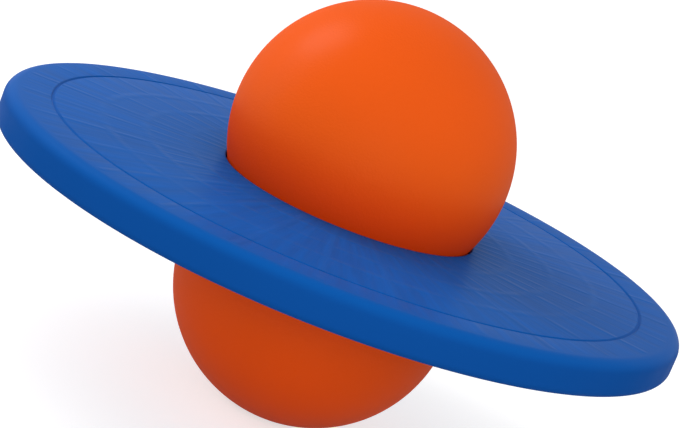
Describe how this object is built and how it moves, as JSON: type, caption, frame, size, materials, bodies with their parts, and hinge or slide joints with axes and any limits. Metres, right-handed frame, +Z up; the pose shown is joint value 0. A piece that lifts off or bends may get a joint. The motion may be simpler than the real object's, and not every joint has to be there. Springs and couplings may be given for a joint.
{
  "type": "pogo ball",
  "caption": "Bouncing toy with a round foot platform held by the waist of a figure-eight inflated ball, which has a plug valve in its upper lobe.",
  "frame": {"origin": "centre of the flat on which the ball's lower lobe stands", "axes": "+Z up along the axis of the ball and the platform, +Y towards the valve"},
  "size_m": [0.4, 0.4, 0.2466],
  "materials": {
    "ball_vinyl": "satin vinyl",
    "valve_vinyl": "satin vinyl",
    "plug_plastic": "satin",
    "deck_plastic": "satin moulded plastic",
    "screw_zinc": "zinc plated"
  },
  "bodies": {
    "ball": {"ball_bladder": "ball_vinyl"},
    "platform": {"upper_deck": "deck_plastic", "lower_deck": "deck_plastic", "valve_seat": "valve_vinyl", "inner_screw_01": "screw_zinc", "inner_screw_02": "screw_zinc", "inner_screw_03": "screw_zinc", "inner_screw_04": "screw_zinc", "inner_screw_05": "screw_zinc", "inner_screw_06": "screw_zinc", "inner_screw_07": "screw_zinc", "outer_screw_01": "screw_zinc", "outer_screw_02": "screw_zinc", "outer_screw_03": "screw_zinc", "outer_screw_04": "screw_zinc", "outer_screw_05": "screw_zinc", "outer_screw_06": "screw_zinc", "outer_screw_07": "screw_zinc", "outer_screw_08": "screw_zinc", "outer_screw_09": "screw_zinc", "outer_screw_10": "screw_zinc", "outer_screw_11": "screw_zinc", "outer_screw_12": "screw_zinc", "outer_screw_13": "screw_zinc", "outer_screw_14": "screw_zinc"},
    "plug": {"valve_plug": "plug_plastic"}
  },
  "joints": [
    {"name": "bounce", "type": "slide", "parent": "ball", "child": "platform", "axis": [0, 0, -1], "range_m": [0, 0.05], "stiffness_N_per_m": 18000, "deforming": ["ball_bladder"]},
    {"name": "plug_pull", "type": "slide", "parent": "platform", "child": "plug", "axis": [0, 0.8192, 0.5736], "range_m": [0, 0.02]}
  ]
}
